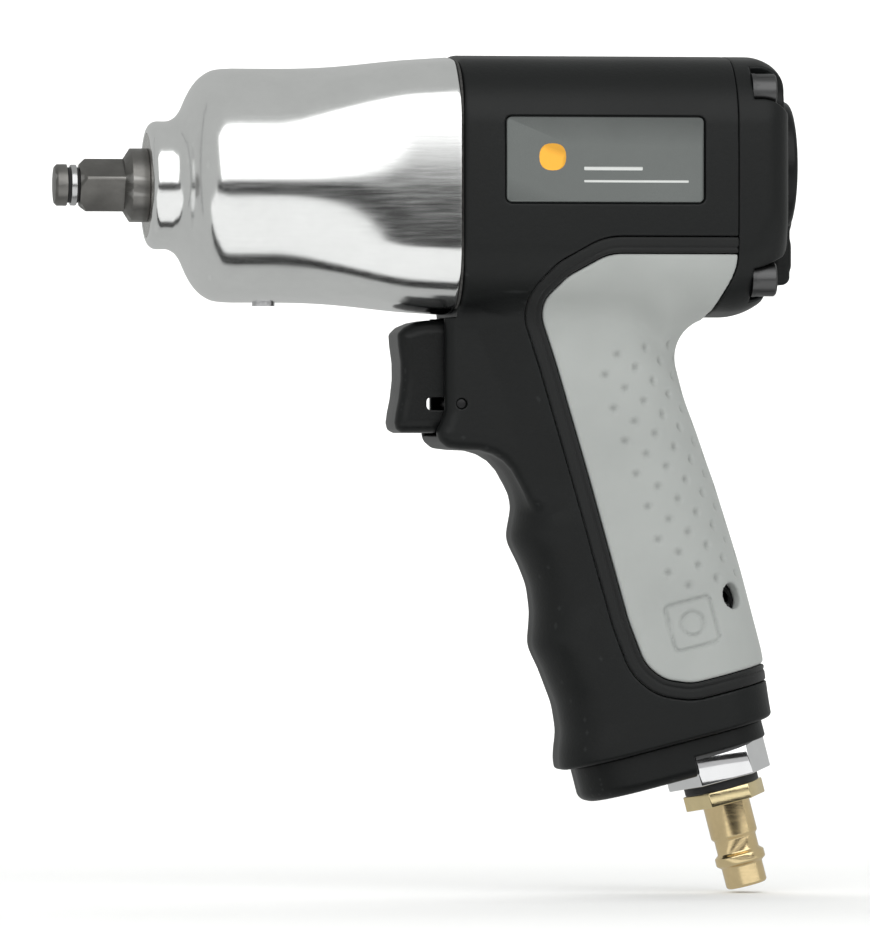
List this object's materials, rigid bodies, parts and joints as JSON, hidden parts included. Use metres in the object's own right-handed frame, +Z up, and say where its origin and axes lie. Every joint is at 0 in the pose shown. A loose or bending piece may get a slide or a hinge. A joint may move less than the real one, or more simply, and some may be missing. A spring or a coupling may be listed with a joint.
{
  "type": "air impact wrench",
  "caption": "Pistol-grip air impact wrench: polished hammer case with a square drive, black motor housing, soft dimpled grip, sliding trigger, thumb selector and brass air plug.",
  "frame": {"origin": "centre of the square drive's end face", "axes": "+X along the drive axis towards the rear cap, +Z up away from the grip, +Y to the left seen from behind looking at the drive end"},
  "size_m": [0.1768, 0.0592, 0.1989],
  "materials": {
    "polished_alloy": "polished",
    "drive_steel": "phosphated, bright on the edges",
    "ground_steel": "ground",
    "bush_steel": "satin",
    "plate_alloy": "machined",
    "housing_black": "fine texture",
    "cap_black": "fine texture",
    "trigger_black": "satin",
    "grip_grey": "soft touch",
    "frame_black": "soft touch",
    "plate_grey": "satin",
    "screw_black": "black oxide",
    "chrome": "polished",
    "brass": "turned",
    "rubber_black": "matt",
    "gasket": "pressed fibre, graphite faced",
    "felt": "felt",
    "vane": "resin and cloth laminate",
    "reverse_black": "satin"
  },
  "bodies": {
    "housing": {"hammer_case": "polished_alloy", "oil_plug": "plate_alloy", "anvil_bushing": "bush_steel", "case_gasket": "gasket", "end_plate_seal": "gasket", "front_end_plate": "plate_alloy", "rear_end_plate": "plate_alloy", "front_bearing_outer": "ground_steel", "rear_bearing_outer": "ground_steel", "motor_cylinder": "ground_steel", "cylinder_dowel": "ground_steel", "motor_housing": "housing_black", "grip_insert": "grip_grey", "grip_frame": "frame_black", "grip_screws": "screw_black", "name_plates": "plate_grey", "rear_cap": "cap_black", "valve_sleeve": "ground_steel", "cap_screws": "screw_black", "cap_washers": "screw_black", "trigger_pin": "screw_black", "throttle_bushing": "brass", "valve_seat": "rubber_black", "throttle_spring": "ground_steel", "inlet_bushing": "chrome", "inlet_o_ring": "rubber_black", "inlet_screen": "ground_steel", "inlet_seal": "rubber_black", "air_nipple": "brass", "exhaust_deflector": "cap_black", "exhaust_muffler": "felt"},
    "anvil": {"anvil": "drive_steel", "drive_o_ring": "rubber_black", "friction_ring": "ground_steel"},
    "rotor": {"rotor": "ground_steel", "rotor_vanes": "vane", "front_bearing_inner": "ground_steel", "rear_bearing_inner": "ground_steel", "hammer_cage": "ground_steel", "hammer_pins": "ground_steel"},
    "front_hammer": {"front_hammer": "ground_steel"},
    "rear_hammer": {"rear_hammer": "ground_steel"},
    "front_balls": {"front_bearing_balls": "ground_steel"},
    "rear_balls": {"rear_bearing_balls": "ground_steel"},
    "trigger": {"trigger": "trigger_black", "trigger_stem": "ground_steel"},
    "poppet": {"throttle_poppet": "brass"},
    "selector": {"selector_lever": "trigger_black", "selector_screw": "screw_black", "reverse_valve": "reverse_black", "valve_o_ring": "rubber_black"}
  },
  "joints": [
    {"name": "rotor_spin", "type": "hinge", "parent": "housing", "child": "rotor", "pos_m": [0, 0, 0], "axis": [1, 0, 0], "continuous": true},
    {"name": "anvil_spin", "type": "hinge", "parent": "housing", "child": "anvil", "pos_m": [0, 0, 0], "axis": [1, 0, 0], "continuous": true},
    {"name": "front_balls_roll", "type": "hinge", "parent": "housing", "child": "front_balls", "pos_m": [0.097, 0, 0], "axis": [1, 0, 0], "continuous": true},
    {"name": "rear_balls_roll", "type": "hinge", "parent": "housing", "child": "rear_balls", "pos_m": [0.1475, 0, 0], "axis": [1, 0, 0], "continuous": true},
    {"name": "front_hammer_rock", "type": "hinge", "parent": "rotor", "child": "front_hammer", "pos_m": [0.057, 0, 0.02], "axis": [1, 0, 0], "range_deg": [-3, 3]},
    {"name": "rear_hammer_rock", "type": "hinge", "parent": "rotor", "child": "rear_hammer", "pos_m": [0.0684, 0, -0.02], "axis": [1, 0, 0], "range_deg": [-3, 3]},
    {"name": "trigger_slide", "type": "slide", "parent": "housing", "child": "trigger", "axis": [1, 0, 0], "range_m": [0, 0.006], "stiffness_N_per_m": 600, "springref_m": -0.004, "deforming": ["throttle_spring"]},
    {"name": "poppet_lift", "type": "slide", "parent": "housing", "child": "poppet", "axis": [1, 0, 0], "range_m": [0, 0.006]},
    {"name": "selector_turn", "type": "hinge", "parent": "housing", "child": "selector", "pos_m": [0.17, 0, 0.0049], "axis": [1, 0, 0], "range_deg": [-25, 25]}
  ],
  "couplings": [
    {"joint": "anvil_spin", "follows": "rotor_spin", "ratio": 1},
    {"joint": "front_balls_roll", "follows": "rotor_spin", "ratio": 0.39444},
    {"joint": "rear_balls_roll", "follows": "rotor_spin", "ratio": 0.38125},
    {"joint": "poppet_lift", "follows": "trigger_slide", "ratio": 1}
  ]
}
